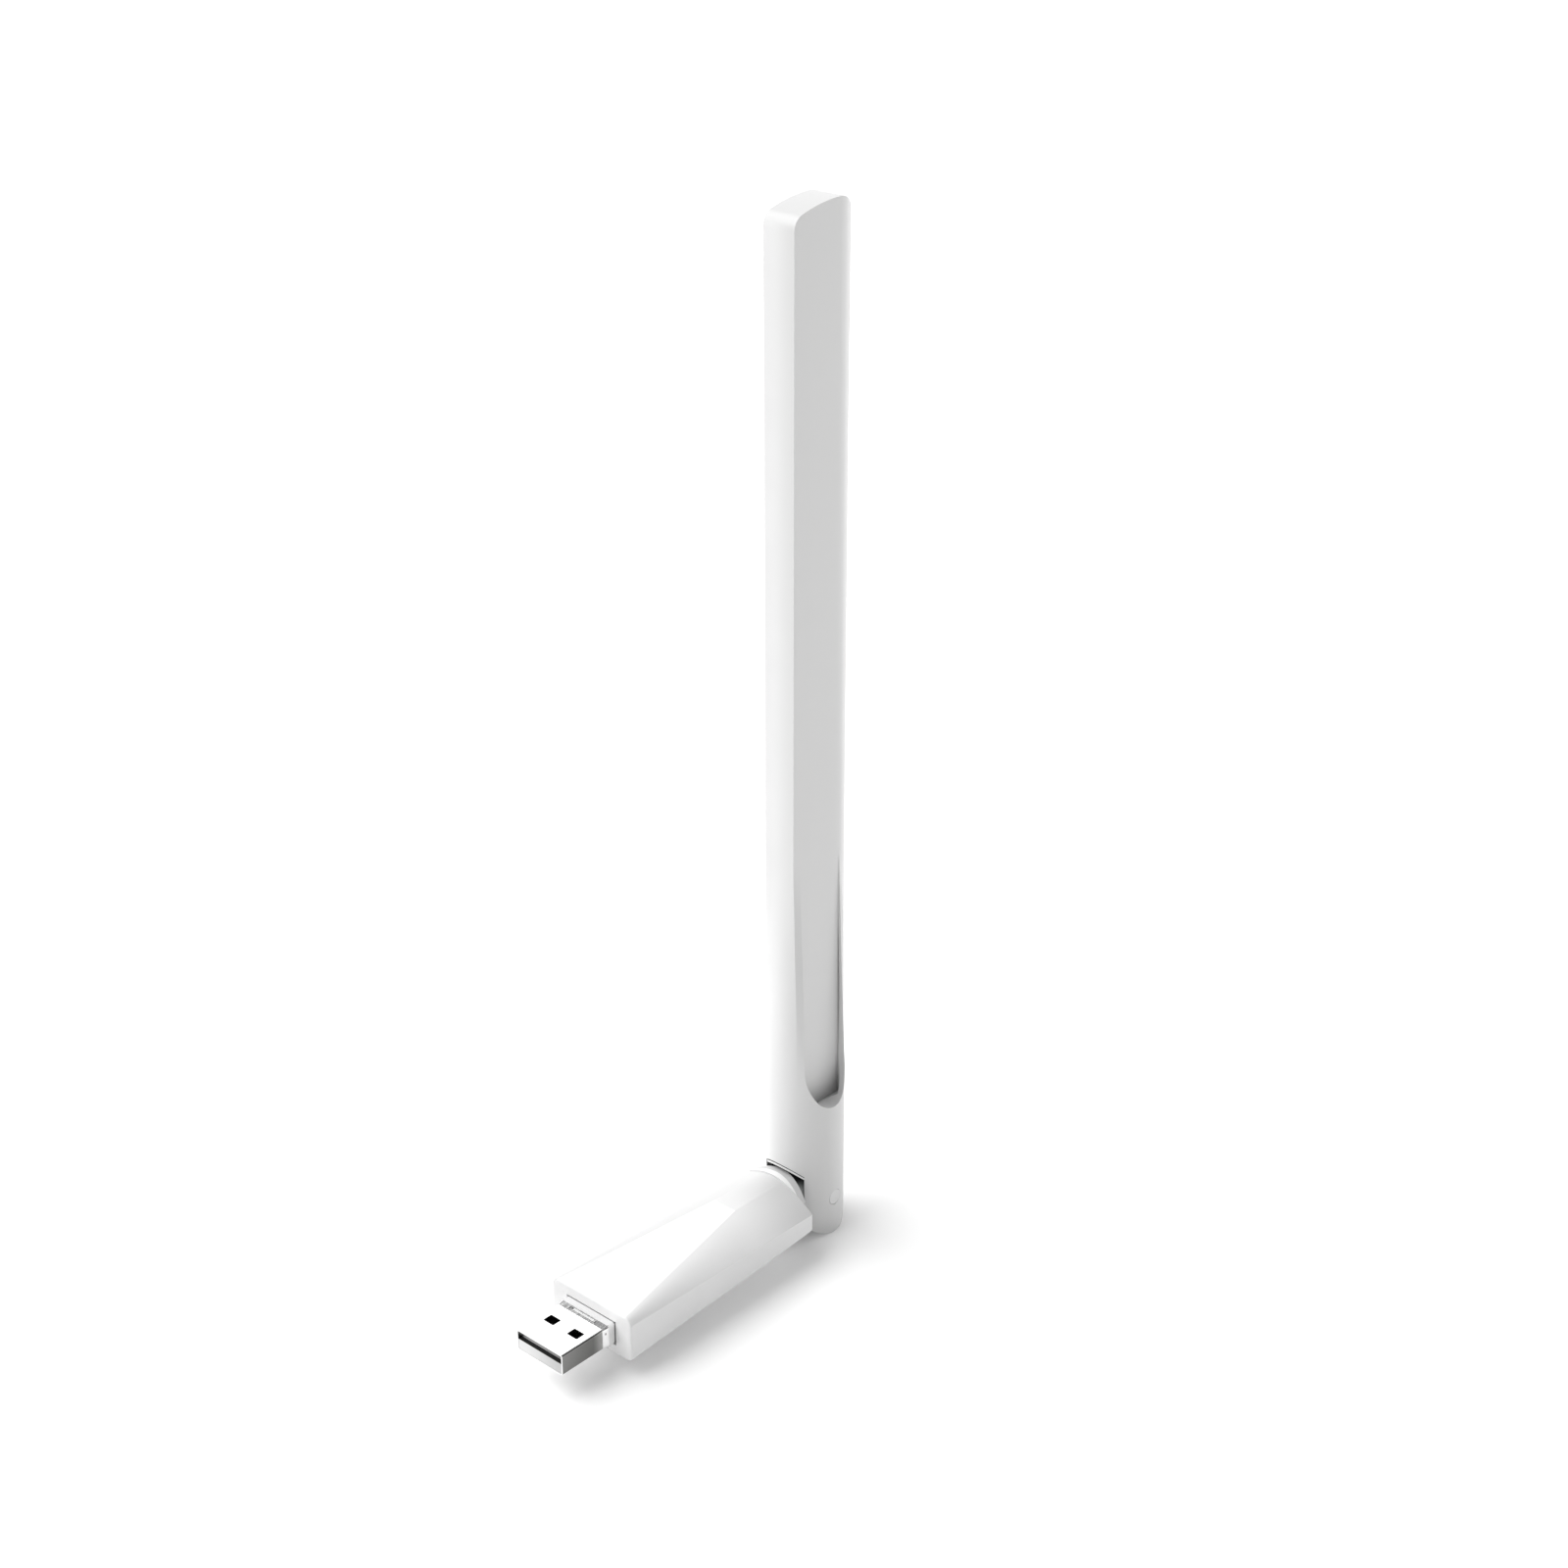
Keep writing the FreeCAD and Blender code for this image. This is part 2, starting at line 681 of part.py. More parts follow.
def mast_section(label, z, radius):
    """A round section about the mast's axis, split at the same places as the blade's outline."""
    size = sized(radius)

    def at(y, side):
        return mast_x + side * math.sqrt(size.value ** 2 - y ** 2)

    return outline(
        label,
        [
            (at(3.9, -1), 3.9, size),
            (at(3.9, -1), -3.9, size),
            (at(5.6, 1), -5.6, size),
            (at(4.3, 1), -4.3, size),
            (at(2.6, 1), -2.6, size),
            (at(2.6, 1), 2.6, size),
            (at(4.3, 1), 4.3, size),
            (at(5.6, 1), 5.6, size),
        ],
        z=z,
    )


def blade_section(label, z, inset=0.0):
    """The blade: flat front and sides, then a gentle turn into rounded back corners."""
    front = dim("blade_front") + inset
    back = dim("blade_back") - inset
    half = dim("blade_front_half") - inset
    side = dim("blade_side_half") - inset
    turn = back - 3.8
    edge = side - 0.59
    rear = side - 1.48
    return outline(
        label,
        [
            (front, half),
            (front, -half),
            (turn, -side),
            (back - 0.6, -edge, 9.0),
            (back, -rear, 0.95),
            (back, rear),
            (back - 0.6, edge, 0.95),
            (turn, side, 9.0),
        ],
        z=z,
    )


def make_sleeve():
    """Antenna sleeve: a round forked cup that fairs into the tall hollow blade rising out of it."""
    top = dim("antenna_top")
    fairing_top = dim("fairing_top")
    space = dim("yoke_radius") + 0.05
    cup = join(
        "sleeve_cup_blank",
        extrude("sleeve_base", mast_section("mast_foot", -9.0, dim("mast_radius")), 37.0),
        loft(
            "sleeve_fairing",
            mast_section("mast_top", 28.0, dim("mast_radius")),
            blade_section("fairing_end", fairing_top),
        ),
    )
    ledge = outline(
        "sleeve_ledge_side",
        [(7.0, 23.2), (7.0, 95.0), (-7.0, 95.0), (-7.0, 23.2), (-3.3, 20.9), (3.3, 20.9)],
        x=45.0,
        turn=END_VIEW,
    )
    side_space = overlap(
        "sleeve_side_space",
        join(
            "sleeve_cup_space",
            extrude("sleeve_round_space", mast_section("round_space_foot", 18.0, space), 10.0),
            loft(
                "sleeve_fairing_space",
                mast_section("space_top", 28.0, space),
                blade_section("fairing_space_end", fairing_top, 0.45),
            ),
        ),
        extrude("sleeve_ledge", ledge, 30.0),
    )
    space_foot = mast_section("space_foot", -12.0, space)
    yoke_space = extrude("sleeve_yoke_space", space_foot, dim("yoke_top") + 12.3)
    side_panel = outline(
        "scoop_side",
        [
            (53.7, 30.5),
            (55.7, 23.6, 12.0),
            (63.0, 23.6, 4.4),
            (65.0, 30.5, 12.0),
            (65.0, 95.0),
            (53.7, 95.0),
        ],
        y=12.0,
        turn=SIDE_VIEW,
    )
    scoop = extrude("sleeve_scoop", side_panel, 24.0)
    blade = extrude("sleeve_blade", blade_section("blade_low", dim("yoke_top") + 0.3), top - 15.6)
    crown = outline(
        "blade_crown",
        [
            (48.0, 0.0),
            (70.0, 0.0),
            (70.0, top - 3.9),
            (dim("blade_back"), top - 3.9),
            (dim("blade_back") - 3.9, top, 3.9),
            (53.9, top - 1.444, 34.0),
            (dim("blade_front"), top - 4.07, 2.74),
            (48.0, top - 4.07),
        ],
        y=12.0,
        turn=SIDE_VIEW,
    )
    blade_crowned = overlap("sleeve_blade_crowned", blade, extrude("crown_prism", crown, 24.0))
    shell = cut(
        "sleeve_cup",
        cup,
        yoke_space,
        side_space,
        scoop,
        foot_cutter("sleeve_foot", dim("foot_round")),
        slot_cutter("sleeve_slot", dim("lip_top")),
    )
    channel_plan = outline(
        "sleeve_channel_plan",
        [(53.25, -2.25), (65.9, -2.0), (65.9, 2.0), (53.25, 2.25)],
        z=15.0,
    )
    channel = extrude("sleeve_channel", channel_plan, top - 2.9 - 15.0)
    pin_way = rod("sleeve_cap_way", 1.66, 20.0, pivot_x, -10.0, pivot_z, ALONG_Y)
    nodes["antenna_sleeve"] = cut(
        "antenna_sleeve_moulding", join("sleeve_outer", shell, blade_crowned), channel, pin_way
    )


def make_yoke():
    """Inner yoke: plug in the sleeve, a thin lip under its edge, two pivot cheeks."""
    core = rod("yoke_core", dim("yoke_radius"), dim("yoke_top") + 12.0, mast_x, 0.0, -12.0)
    lip_disc = rod("yoke_lip_disc", dim("mast_radius") - 0.12, 12.0, mast_x, 0.0, 0.0)
    lip_band = cut(
        "yoke_lip_band",
        box("yoke_lip_block", (45.0, 75.0), (-4.9, 4.9), (0.0, 12.0)),
        box("yoke_lip_above", (44.0, 76.0), (-6.0, 6.0), (9.0, 14.0)),
    )
    lip = overlap("yoke_lip", lip_disc, lip_band, slot_cutter("yoke_lip_limit", dim("lip_top") - 0.32))
    solid = join("yoke_solid", core, lip)
    bores = rod("yoke_bores", dim("pin_radius"), 20.0, pivot_x, -10.0, pivot_z, ALONG_Y)
    riser = box("yoke_cable_riser", (pivot_x - 0.75, pivot_x + 0.75), (4.5, 7.0), (pivot_z, 11.5))
    crossing = box("yoke_cable_crossing", (pivot_x - 0.75, pivot_x + 0.75), (0.2, 7.0), (8.9, 18.0))
    nodes["hinge_yoke"] = cut(
        "hinge_yoke_moulding",
        solid,
        foot_cutter("yoke_foot", dim("foot_round") - 0.1),
        slot_cutter("yoke_slot", dim("lip_top") - 0.8),
        bores,
        riser,
        crossing,
    )


def make_pivots():
    """Pivot pins, one of them hollow for the cable, with friction washers and end caps."""
    reach = dim("yoke_radius") - 0.4
    pin = dim("pin_radius")
    nodes["pivot_pin"] = rod("pivot_pin_solid", pin, reach - 3.25, pivot_x, -reach, pivot_z, ALONG_Y)
    tube = cut(
        "pivot_bush_tube",
        rod("pivot_bush_wall", pin, reach - 3.25, pivot_x, 3.25, pivot_z, ALONG_Y),
        rod("pivot_bush_bore", 1.0, 6.0, pivot_x, 2.0, pivot_z, ALONG_Y),
    )
    notch = box("pivot_bush_notch", (pivot_x - 0.75, pivot_x + 0.75), (3.9, 8.0), (pivot_z, pivot_z + 3.0))
    nodes["pivot_bush"] = cut("pivot_bush_notched", tube, notch)
    washers = []
    caps = []
    for number, side in enumerate((-1, 1)):
        face = 4.75 if side > 0 else -4.95
        ring = rod(f"washer_disc_{number}", 3.4, 0.2, pivot_x, face, pivot_z, ALONG_Y)
        hole = rod(f"washer_hole_{number}", pin + 0.03, 2.0, pivot_x, face - 1.0, pivot_z, ALONG_Y)
        washers.append(cut(f"friction_washer_{number}", ring, hole))
        depth = 0.92
        outer = dim("yoke_radius") + 0.1 if side > 0 else -dim("yoke_radius") - 0.1 - depth
        caps.append(rod(f"pivot_cap_{number}", 1.6, depth, pivot_x, outer, pivot_z, ALONG_Y))
    nodes["friction_washers"] = group("friction_washer_pair", *washers)
    nodes["pivot_caps"] = group("pivot_cap_pair", *caps)


# ---------------------------------------------------------------- antenna parts


def make_radiator():
    """Printed dipole: carrier board, copper arms and the foam pads that hold it."""
    nodes["antenna_board"] = box("antenna_board_strip", (54.6, 64.6), (-0.4, 0.4), (58.0, 176.0))
    arms = []
    for number, (low, high) in enumerate(((66.0, 112.0), (114.0, 172.0))):
        arms.append(box(f"dipole_arm_{number}", (56.6, 62.6), (-0.5, -0.4), (low, high)))
    nodes["dipole_arms"] = group("dipole_copper", *arms)
    pads = []
    for number, z in enumerate((84.0, 150.0)):
        pads.append(box(f"foam_pad_front_{number}", (56.0, 63.0), (-1.85, -0.52), (z, z + 12.0)))
        pads.append(box(f"foam_pad_rear_{number}", (56.0, 63.0), (0.42, 1.85), (z, z + 12.0)))
    nodes["foam_pads"] = group("foam_pad_set", *pads)


def make_coax():
    """Coax lead: board to pivot, then on the pivot's axis into the antenna and up to the dipole."""
    radius = DRIVING["coax_radius"]
    x = DRIVING["pivot_x"]
    z = DRIVING["pivot_z"]
    nodes["coax_lead_body"] = tube_along(
        "coax_lead_body_run",
        radius,
        [(42.0, 0.0, 1.2), (43.9, 0.0, 1.2), (45.9, 0.0, z), (x, 0.0, z), (x, 3.8, z)],
        [3.4, 3.4, 3.0],
    )
    nodes["coax_lead_antenna"] = tube_along(
        "coax_lead_antenna_run",
        radius,
        [(x, 3.8, z), (x, 5.68, z), (x, 5.68, 10.0), (x, 1.1, 15.6), (x, 1.1, 62.0)],
        [1.75, 3.4, 3.4],
    )


# ---------------------------------------------------------------- model and files


def build_model():
    """Makes every piece, recomputes and gives each node its name."""
    make_casing()
    make_cover()
    make_plug_shell()
    make_plug_insides()
    make_board()
    make_shield()
    make_chips()
    make_coax_connector()
    make_knuckle()
    make_sleeve()
    make_yoke()
    make_pivots()
    make_radiator()
    make_coax()
    doc.recompute()
    for name, thing in nodes.items():
        thing.Label = name


def check_model():
    """Stops on any object that failed, and on any empty or invalid shape."""
    for thing in doc.Objects:
        bad_state = [word for word in thing.State if word in ("Invalid", "Error")]
        if bad_state:
            raise RuntimeError(f"{thing.Name} is {bad_state}")
    for name, thing in nodes.items():
        shape = thing.Shape
        if shape.isNull() or not shape.isValid() or not shape.Solids:
            raise RuntimeError(f"{name} has no valid solid")
        print(name, "solids", len(shape.Solids), "volume", round(shape.Volume, 2))


def export_parts():
    """Writes one STEP file for each node."""
    for name, thing in nodes.items():
        thing.Shape.exportStep(f"parts/{name}.step")


build_model()
check_model()
export_parts()
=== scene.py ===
import math

import bpy
from mathutils import Euler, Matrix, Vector


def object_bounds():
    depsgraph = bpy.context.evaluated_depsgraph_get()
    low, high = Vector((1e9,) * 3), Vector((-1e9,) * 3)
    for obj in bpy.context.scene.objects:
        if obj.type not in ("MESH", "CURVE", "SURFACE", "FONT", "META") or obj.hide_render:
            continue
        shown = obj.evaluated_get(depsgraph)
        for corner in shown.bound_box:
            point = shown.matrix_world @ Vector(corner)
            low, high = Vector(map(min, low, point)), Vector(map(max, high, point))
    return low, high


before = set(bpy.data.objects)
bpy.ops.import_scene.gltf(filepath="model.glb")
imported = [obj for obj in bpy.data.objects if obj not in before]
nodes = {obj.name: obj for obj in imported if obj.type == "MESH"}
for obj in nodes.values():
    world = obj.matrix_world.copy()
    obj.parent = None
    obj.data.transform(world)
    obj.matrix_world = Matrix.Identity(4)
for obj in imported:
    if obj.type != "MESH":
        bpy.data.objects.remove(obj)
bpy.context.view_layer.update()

# ------------------------------------------------------------------ materials


def new_material(name):
    """A material of one principled shader, with its node tree and that shader."""
    material = bpy.data.materials.new(name)
    material.use_nodes = True
    tree = material.node_tree
    tree.nodes.clear()
    output = tree.nodes.new("ShaderNodeOutputMaterial")
    shader = tree.nodes.new("ShaderNodeBsdfPrincipled")
    tree.links.new(shader.outputs["BSDF"], output.inputs["Surface"])
    return material, tree, shader


def noise(tree, scale, detail=3.0, stretch=(1.0, 1.0, 1.0)):
    """Noise over the object's own coordinates, in features per metre."""
    place = tree.nodes.new("ShaderNodeTexCoord")
    mapping = tree.nodes.new("ShaderNodeMapping")
    mapping.inputs["Scale"].default_value = stretch
    texture = tree.nodes.new("ShaderNodeTexNoise")
    texture.inputs["Scale"].default_value = scale
    texture.inputs["Detail"].default_value = detail
    texture.inputs["Roughness"].default_value = 0.5
    tree.links.new(place.outputs["Object"], mapping.inputs["Vector"])
    tree.links.new(mapping.outputs["Vector"], texture.inputs["Vector"])
    return texture.outputs["Fac"]


def spread(tree, value, low, high):
    """The value, taken from the middle of its range to run from low to high."""
    ranged = tree.nodes.new("ShaderNodeMapRange")
    ranged.inputs["From Min"].default_value = 0.3
    ranged.inputs["From Max"].default_value = 0.7
    ranged.inputs["To Min"].default_value = low
    ranged.inputs["To Max"].default_value = high
    tree.links.new(value, ranged.inputs["Value"])
    return ranged.outputs["Result"]


def tint(tree, value, dark, light):
    """A colour between dark and light."""
    mix = tree.nodes.new("ShaderNodeMix")
    mix.data_type = "RGBA"
    mix.inputs["A"].default_value = (*dark, 1.0)
    mix.inputs["B"].default_value = (*light, 1.0)
    tree.links.new(spread(tree, value, 0.0, 1.0), mix.inputs["Factor"])
    return mix.outputs["Result"]


def bump(tree, value, height):
    """A normal raised by value, height in metres."""
    node = tree.nodes.new("ShaderNodeBump")
    node.inputs["Strength"].default_value = 1.0
    node.inputs["Distance"].default_value = height
    tree.links.new(value, node.inputs["Height"])
    return node.outputs["Normal"]


def moulded_plastic(name, dark, light, gloss, grain=9000.0, height=0.000006, glow=0.0):
    """Injection-moulded plastic: fine spark-eroded grain and a very faint flow tint."""
    material, tree, shader = new_material(name)
    flow = noise(tree, 60.0, 4.0)
    texture = noise(tree, grain, 2.0)
    tree.links.new(tint(tree, flow, dark, light), shader.inputs["Base Color"])
    tree.links.new(spread(tree, texture, gloss - 0.04, gloss + 0.05), shader.inputs["Roughness"])
    tree.links.new(bump(tree, texture, height), shader.inputs["Normal"])
    shader.inputs["IOR"].default_value = 1.5
    shader.inputs["Subsurface Weight"].default_value = glow
    shader.inputs["Subsurface Radius"].default_value = (0.0008, 0.0007, 0.0006)
    return material


def coordinate(tree):
    """The object's own x, y and z, in metres."""
    place = tree.nodes.new("ShaderNodeTexCoord")
    split = tree.nodes.new("ShaderNodeSeparateXYZ")
    tree.links.new(place.outputs["Object"], split.inputs["Vector"])
    return split.outputs["X"], split.outputs["Y"], split.outputs["Z"]


def facing(tree):
    """The x, y and z of the direction that the surface faces, in the object's own frame."""
    place = tree.nodes.new("ShaderNodeTexCoord")
    split = tree.nodes.new("ShaderNodeSeparateXYZ")
    tree.links.new(place.outputs["Normal"], split.inputs["Vector"])
    return split.outputs["X"], split.outputs["Y"], split.outputs["Z"]


def maths(tree, operation, *values):
    """One arithmetic node; each value is a number or a socket."""
    node = tree.nodes.new("ShaderNodeMath")
    node.operation = operation
    for number, value in enumerate(values):
        if isinstance(value, (int, float)):
            node.inputs[number].default_value = value
        else:
            tree.links.new(value, node.inputs[number])
    return node.outputs["Value"]


def distance(tree, across, up):
    """How far from an axis, given the two offsets from it."""
    squares = [maths(tree, "MULTIPLY", side, side) for side in (across, up)]
    return maths(tree, "SQRT", maths(tree, "ADD", *squares))


def ramp(tree, value, start, end):
    """Rises from 0 where the value is start to 1 where it is end, with soft shoulders."""
    node = tree.nodes.new("ShaderNodeMapRange")
    node.interpolation_type = "SMOOTHSTEP"
    node.inputs["From Min"].default_value = start
    node.inputs["From Max"].default_value = end
    tree.links.new(value, node.inputs["Value"])
    return node.outputs["Result"]


def blend(tree, factor, first, second):
    """A colour that goes from first to second; each is a colour or a socket."""
    mix = tree.nodes.new("ShaderNodeMix")
    mix.data_type = "RGBA"
    tree.links.new(factor, mix.inputs["Factor"])
    for name, colour in (("A", first), ("B", second)):
        if isinstance(colour, tuple):
            mix.inputs[name].default_value = (*colour, 1.0)
        else:
            tree.links.new(colour, mix.inputs[name])
    return mix.outputs["Result"]


def recolour(material, change):
    """Passes the material's colour through change(tree, colour) on its way to the shader."""
    tree = material.node_tree
    base = tree.nodes["Principled BSDF"].inputs["Base Color"]
    colour = base.links[0].from_socket
    tree.links.new(change(tree, colour), base)


def sheet_metal(name, dark, light, gloss, stretch, scale=2500.0, height=0.0000004):
    """Plated sheet metal with rolling marks along one direction."""
    material, tree, shader = new_material(name)
    marks = noise(tree, scale, 3.0, stretch)
    haze = noise(tree, 180.0, 3.0)
    tree.links.new(tint(tree, haze, dark, light), shader.inputs["Base Color"])
    tree.links.new(spread(tree, marks, gloss - 0.05, gloss + 0.08), shader.inputs["Roughness"])
    tree.links.new(bump(tree, marks, height), shader.inputs["Normal"])
    shader.inputs["Metallic"].default_value = 1.0
    return material


white = moulded_plastic("white_plastic", (0.80, 0.80, 0.80), (0.83, 0.83, 0.83), 0.42)
case_white = moulded_plastic("casing_plastic", (0.81, 0.81, 0.81), (0.84, 0.84, 0.84), 0.42)
sleeve_white = moulded_plastic("sleeve_plastic", (0.79, 0.79, 0.79), (0.82, 0.82, 0.82), 0.42)
cap_white = moulded_plastic("cap_plastic", (0.74, 0.74, 0.74), (0.77, 0.77, 0.77), 0.42)
inner_white = moulded_plastic("hinge_plastic", (0.80, 0.80, 0.80), (0.84, 0.84, 0.84), 0.45)
yoke_white = moulded_plastic("yoke_plastic", (0.78, 0.78, 0.78), (0.82, 0.82, 0.82), 0.45)
black = moulded_plastic("black_plastic", (0.02, 0.02, 0.022), (0.035, 0.035, 0.037), 0.5)
tongue_black = moulded_plastic("tongue_plastic", (0.012, 0.012, 0.012), (0.018, 0.018, 0.018), 0.5)
plug_steel = sheet_metal("plug_steel", (0.90, 0.90, 0.90), (0.94, 0.94, 0.94), 0.12, (0.1, 1.0, 1.0))
plated = sheet_metal("plated_steel", (0.80, 0.80, 0.81), (0.88, 0.88, 0.89), 0.16, (0.1, 1.0, 1.0))
can_metal = sheet_metal("tinned_can", (0.62, 0.62, 0.63), (0.74, 0.74, 0.75), 0.3, (1.0, 0.1, 1.0))
gold = sheet_metal("gold_plate", (0.80, 0.60, 0.24), (0.88, 0.70, 0.34), 0.22, (0.1, 1.0, 1.0))
copper = sheet_metal("copper_foil", (0.72, 0.38, 0.22), (0.84, 0.50, 0.32), 0.3, (1.0, 1.0, 0.1))
board_green = moulded_plastic("solder_mask", (0.015, 0.12, 0.05), (0.03, 0.18, 0.08), 0.3)
ceramic = moulded_plastic("fired_ceramic", (0.34, 0.24, 0.15), (0.46, 0.34, 0.22), 0.4)
led_resin = moulded_plastic("led_resin", (0.70, 0.74, 0.76), (0.82, 0.86, 0.88), 0.15, glow=0.3)
jacket = moulded_plastic("cable_jacket", (0.015, 0.015, 0.016), (0.03, 0.03, 0.032), 0.35)
foam = moulded_plastic("pad_foam", (0.08, 0.08, 0.085), (0.16, 0.16, 0.165), 0.9, 2500.0, 0.00012)

FINISHES = {
    white: ("bottom_cover",),
    case_white: ("casing",),
    sleeve_white: ("antenna_sleeve",),
    cap_white: ("pivot_caps",),
    inner_white: ("hinge_knuckle",),
    yoke_white: ("hinge_yoke",),
    plug_steel: ("usb_shell",),
    plated: ("pivot_pin", "pivot_bush"),
    tongue_black: ("usb_insulator",),
    black: ("wifi_chip", "flash_chip", "regulator", "inductor", "resistors", "friction_washers"),
    can_metal: ("shield_frame", "shield_lid", "crystal"),
    gold: ("usb_contacts", "coax_socket", "coax_plug"),
    copper: ("dipole_arms",),
    board_green: ("main_board", "antenna_board"),
    ceramic: ("capacitors",),
    led_resin: ("status_led",),
    jacket: ("coax_lead_body", "coax_lead_antenna"),
    foam: ("foam_pads",),
}


# Places on the object, in metres.
PIVOT_X, PIVOT_Z = 0.0599, 0.0004
MAST_X = 0.0595
PLUG_TIP = -0.0131
LIP_RADIUS = 0.0075
BAND_RADIUS = 0.0097
COLLAR_RADIUS = 0.0111
CAP_FACE_RADIUS = 0.0015
RIDGE_STRIP_X = 0.0362
BLADE_SIDE_Y = -0.0036

# The functions below shade a piece by where a point is on it and which way it faces. Some of them
# stand in for light and shadow: they are not differences in the colour of the real plastic or metal.


def from_pivot(tree):
    """How far a point is from the hinge's crosswise axis."""
    x, _, z = coordinate(tree)
    return distance(tree, maths(tree, "SUBTRACT", x, PIVOT_X), maths(tree, "SUBTRACT", z, PIVOT_Z))


def both(tree, first, second):
    """Where the first mask and the second one overlap."""
    return maths(tree, "MULTIPLY", first, second)


def paint_fork_shade(tree, colour):
    """Yoke: only the lip at the sleeve's surface is light, and the depth of the fork is dark as
    painted shade, darkest towards +Y; the lip's upward faces carry a near-black painted shadow, for
    the gap under the sleeve's edge.
    """
    x, y, _ = coordinate(tree)
    reach = distance(tree, maths(tree, "SUBTRACT", x, MAST_X), y)
    near = ramp(tree, y, 0.0005, -0.0045)
    depth = blend(tree, near, (0.006, 0.006, 0.006), (0.22, 0.23, 0.23))
    lip = blend(tree, ramp(tree, facing(tree)[2], 0.3, 0.5), colour, (0.03, 0.03, 0.03))
    return blend(tree, ramp(tree, reach, LIP_RADIUS, LIP_RADIUS + 0.00005), depth, lip)


def paint_knuckle_shade(tree, colour):
    """Knuckle: a light collar, a grey band round it that is painted shade under the antenna, and a
    dark neck inside the fork that is painted shade, lighter towards -Y.
    """
    y = coordinate(tree)[1]
    reach = from_pivot(tree)
    neck = blend(tree, ramp(tree, y, -0.0033, -0.0048), (0.02, 0.02, 0.02), (0.30, 0.31, 0.31))
    on_band = ramp(tree, reach, BAND_RADIUS, BAND_RADIUS + 0.00004)
    band = blend(tree, on_band, neck, (0.57, 0.57, 0.57))
    on_collar = ramp(tree, reach, COLLAR_RADIUS - 0.00002, COLLAR_RADIUS + 0.00002)
    return blend(tree, on_collar, band, colour)


def paint_lit_front(tree, colour):
    """Plug insulator: painted light on its front face and the lip across the tongue, paler towards
    +Y and greyer towards -Y; black elsewhere.
    """
    x, y, z = coordinate(tree)
    face = ramp(tree, x, PLUG_TIP + 0.0001, PLUG_TIP + 0.00005)
    raised = ramp(tree, z, 0.00022, 0.00024)
    lit = maths(tree, "MAXIMUM", face, raised)
    pale = blend(tree, ramp(tree, y, 0.005, -0.006), (0.76, 0.76, 0.76), (0.52, 0.52, 0.52))
    return blend(tree, lit, colour, pale)


def dim_in_plug(tree, colour):
    """Gold: the contact strips are dark behind their tips, in the shadow of the plug's shell."""
    x = coordinate(tree)[0]
    inside = both(tree, ramp(tree, x, -0.0105, -0.0095), ramp(tree, x, 0.0, -0.001))
    return blend(tree, inside, colour, (0.03, 0.028, 0.02))


def paint_side_reflection(tree, colour):
    """Plug shell: its two long sides are darker than its broad faces, and lighter at the collar, as
    a painted dark reflection; the floor of the groove in the collar is painted grey as painted
    shade.
    """
    x, _, z = coordinate(tree)
    sideways = ramp(tree, maths(tree, "ABSOLUTE", facing(tree)[1]), 0.3, 0.55)
    ahead = ramp(tree, x, -0.0029, -0.0031)
    middle = blend(tree, ramp(tree, x, -0.006, PLUG_TIP), (0.16, 0.16, 0.155), (0.22, 0.22, 0.215))
    dark = blend(tree, ramp(tree, x, -0.0055, -0.0026), middle, (0.45, 0.45, 0.44))
    outside = blend(tree, both(tree, sideways, ahead), colour, dark)
    on_collar = both(tree, ramp(tree, x, -0.0024, -0.0023), ramp(tree, x, -0.0018, -0.00185))
    sunken = both(tree, ramp(tree, z, 0.00232, 0.00226), ramp(tree, z, 0.0021, 0.00215))
    return blend(tree, both(tree, on_collar, sunken), outside, (0.40, 0.40, 0.40))


def blade_shade(tree, colour):
    """Sleeve: painted shade makes it darker on its -Y side, its lower front and its crown; painted
    light makes it lighter on its back.
    """
    x, y, z = coordinate(tree)
    backward, _, upward = facing(tree)
    side = blend(tree, ramp(tree, y, 0.0020, BLADE_SIDE_Y), colour, (0.70, 0.70, 0.698))
    cup = both(tree, ramp(tree, z, 0.050, 0.024), ramp(tree, y, -0.0060, -0.0015))
    front = both(tree, cup, ramp(tree, x, 0.0550, 0.0530))
    shaded = blend(tree, front, side, (0.74, 0.74, 0.74))
    rear = both(
        tree, ramp(tree, backward, 0.12, 0.35), ramp(tree, y, BLADE_SIDE_Y, BLADE_SIDE_Y + 0.0002)
    )
    edged = blend(tree, rear, shaded, (0.84, 0.84, 0.84))
    return blend(tree, ramp(tree, upward, 0.1, 0.6), edged, (0.71, 0.71, 0.71))


def rear_shade(tree, colour):
    """Casing: painted shade makes it darker on the ridge strip, on the slopes by the hinge and on
    all that faces +Y.
    """
    x = coordinate(tree)[0]
    _, sideways, rise = facing(tree)
    upward = ramp(tree, rise, 0.25, 0.6)
    behind_step = ramp(tree, x, RIDGE_STRIP_X - 0.0001, RIDGE_STRIP_X + 0.0001)
    strip = both(tree, ramp(tree, rise, 0.97, 0.99), behind_step)
    rear = both(tree, upward, ramp(tree, x, 0.034, 0.050))
    stepped = blend(tree, strip, colour, (0.745, 0.745, 0.745))
    hinge_end = blend(tree, rear, stepped, (0.62, 0.62, 0.62))
    return blend(tree, ramp(tree, sideways, 0.1, 0.3), hinge_end, (0.64, 0.64, 0.64))


def outlined(tree, colour):
    """Pivot caps: a fine grey line round the rim."""
    rim = ramp(tree, from_pivot(tree), CAP_FACE_RADIUS, CAP_FACE_RADIUS + 0.00008)
    return blend(tree, rim, colour, (0.60, 0.60, 0.60))


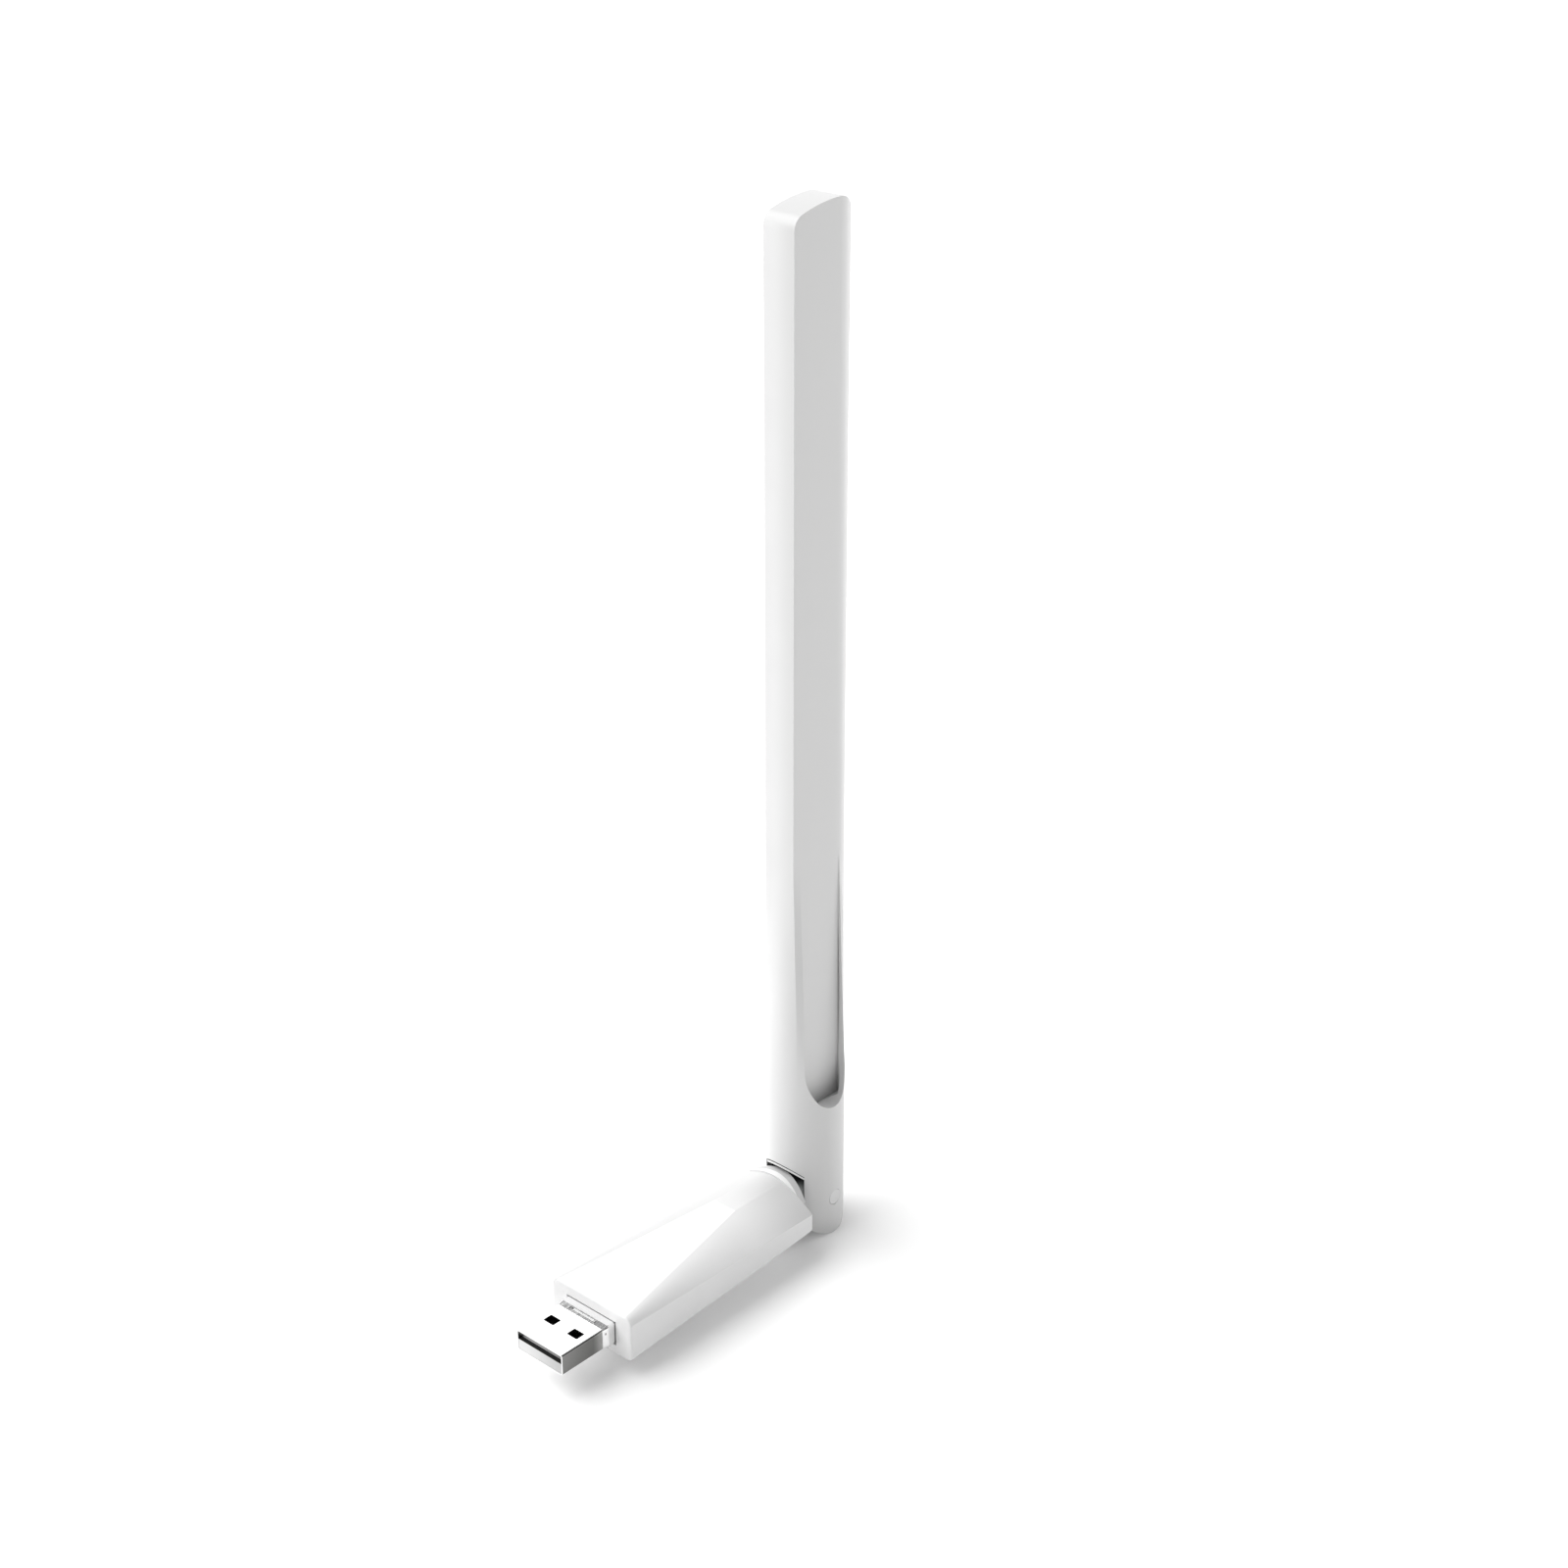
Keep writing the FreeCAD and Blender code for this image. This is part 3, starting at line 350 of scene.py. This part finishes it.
SHADES = {
    case_white: rear_shade,
    sleeve_white: blade_shade,
    cap_white: outlined,
    inner_white: paint_knuckle_shade,
    plug_steel: paint_side_reflection,
    yoke_white: paint_fork_shade,
    tongue_black: paint_lit_front,
    gold: dim_in_plug,
}
for shaded_material, shade in SHADES.items():
    recolour(shaded_material, shade)


def paint(obj, material):
    """Gives an object that material alone."""
    obj.data.materials.clear()
    obj.data.materials.append(material)


for material, names in FINISHES.items():
    for name in names:
        paint(nodes[name], material)


# ------------------------------------------------------------------ floor, light and camera

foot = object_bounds()[0].z
floor_mesh = bpy.data.meshes.new("floor")
span = 4.0
floor_mesh.from_pydata(
    [(-span, -span, foot), (span, -span, foot), (span, span, foot), (-span, span, foot)],
    [],
    [(0, 1, 2, 3)],
)
floor = bpy.data.objects.new("floor", floor_mesh)
bpy.context.scene.collection.objects.link(floor)
floor_paint, floor_tree, floor_shader = new_material("paper_floor")
floor_tone = tint(floor_tree, noise(floor_tree, 3.0), (0.93, 0.93, 0.93), (0.95, 0.95, 0.95))
floor_tree.links.new(floor_tone, floor_shader.inputs["Base Color"])
floor_shader.inputs["Roughness"].default_value = 0.9
floor_shader.inputs["Emission Color"].default_value = (1.0, 1.0, 1.0, 1.0)
floor_shader.inputs["Emission Strength"].default_value = 0.09
floor_shader.inputs["Specular IOR Level"].default_value = 0.1
paint(floor, floor_paint)

world = bpy.data.worlds.new("studio")
world.use_nodes = True
background = world.node_tree.nodes["Background"]
background.inputs["Color"].default_value = (1.0, 1.0, 1.0, 1.0)
background.inputs["Strength"].default_value = 0.31
bpy.context.scene.world = world


def sun(name, azimuth, elevation, strength, softness):
    """A soft distant light that comes from that azimuth, in degrees from +X towards +Y."""
    data = bpy.data.lights.new(name, "SUN")
    data.energy = strength
    data.angle = math.radians(softness)
    light = bpy.data.objects.new(name, data)
    side = math.radians(azimuth)
    rise = math.radians(elevation)
    level = math.cos(rise)
    source = Vector((math.cos(side) * level, math.sin(side) * level, math.sin(rise)))
    light.rotation_euler = source.to_track_quat("Z", "Y").to_euler()
    bpy.context.scene.collection.objects.link(light)


def softbox(name, place, aim, size, power):
    """A rectangular light that shows in reflections but not as an object."""
    data = bpy.data.lights.new(name, "AREA")
    data.shape = "RECTANGLE"
    data.size = size[0]
    data.size_y = size[1]
    data.energy = power
    light = bpy.data.objects.new(name, data)
    light.location = place
    light.rotation_euler = (Vector(place) - Vector(aim)).to_track_quat("Z", "Y").to_euler()
    light.visible_camera = False
    bpy.context.scene.collection.objects.link(light)


sun("key", 125.0, 50.0, 3.2, 65.0)
softbox("backdrop", (0.45, 0.40, 0.30), (-0.01, 0.0, 0.0), (0.6, 0.5), 1.2)
softbox("rim", (0.35, -0.10, 0.12), (0.06, 0.0, 0.03), (0.12, 0.3), 0.25)

view_azimuth = math.radians(42.023)
view_pitch = math.radians(25.464)
camera_data = bpy.data.cameras.new("camera")
camera_data.lens = 60.93
camera_data.sensor_width = 36.0
camera_data.clip_start = 0.01
camera = bpy.data.objects.new("camera", camera_data)
camera.location = (-0.2739, -0.2948, 0.3007)
camera.rotation_euler = Euler((math.pi / 2 - view_pitch, 0.0, view_azimuth - math.pi / 2), "XYZ")
bpy.context.scene.collection.objects.link(camera)
bpy.context.scene.camera = camera
bpy.context.scene.view_settings.view_transform = "Standard"
